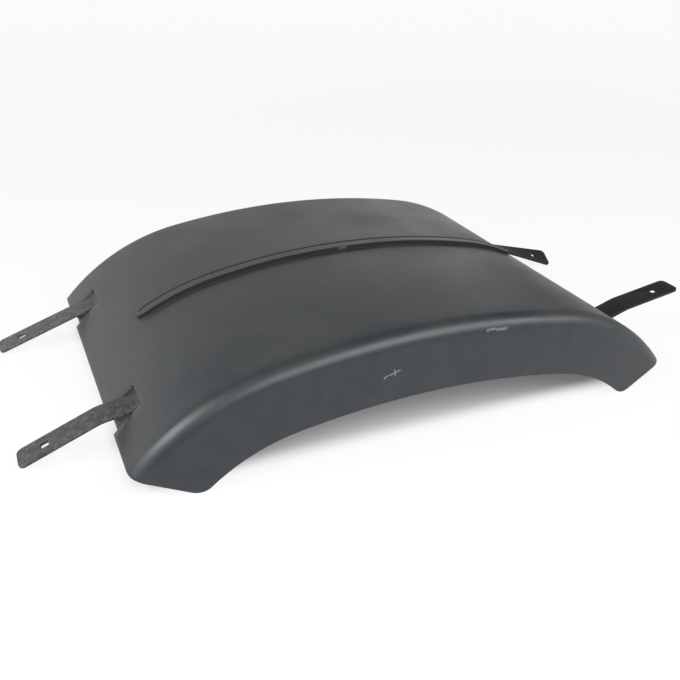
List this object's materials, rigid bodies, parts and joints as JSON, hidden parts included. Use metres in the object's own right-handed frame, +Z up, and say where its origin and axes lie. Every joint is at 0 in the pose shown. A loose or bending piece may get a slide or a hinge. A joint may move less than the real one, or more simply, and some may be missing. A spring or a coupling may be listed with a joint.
{
  "type": "mudguard",
  "caption": "Arched top section of a truck mudguard with a deep front skirt, a raised bead along its crown and rubber straps that hold it to its neighbours.",
  "frame": {"origin": "on the plane that the lower corners stand on, below the middle of the crown and midway across the panel", "axes": "+X along the arch, +Y from the skirt at the front to the flange at the back, +Z up"},
  "size_m": [1.2405, 0.656, 0.1978],
  "materials": {
    "shell": "grained black moulded plastic",
    "strap": "worn dull rubber"
  },
  "bodies": {
    "root": {"mudguard_shell": "shell", "strap_outer_left": "strap", "strap_inner_left": "strap", "strap_outer_right": "strap", "strap_inner_right": "strap"}
  },
  "joints": []
}
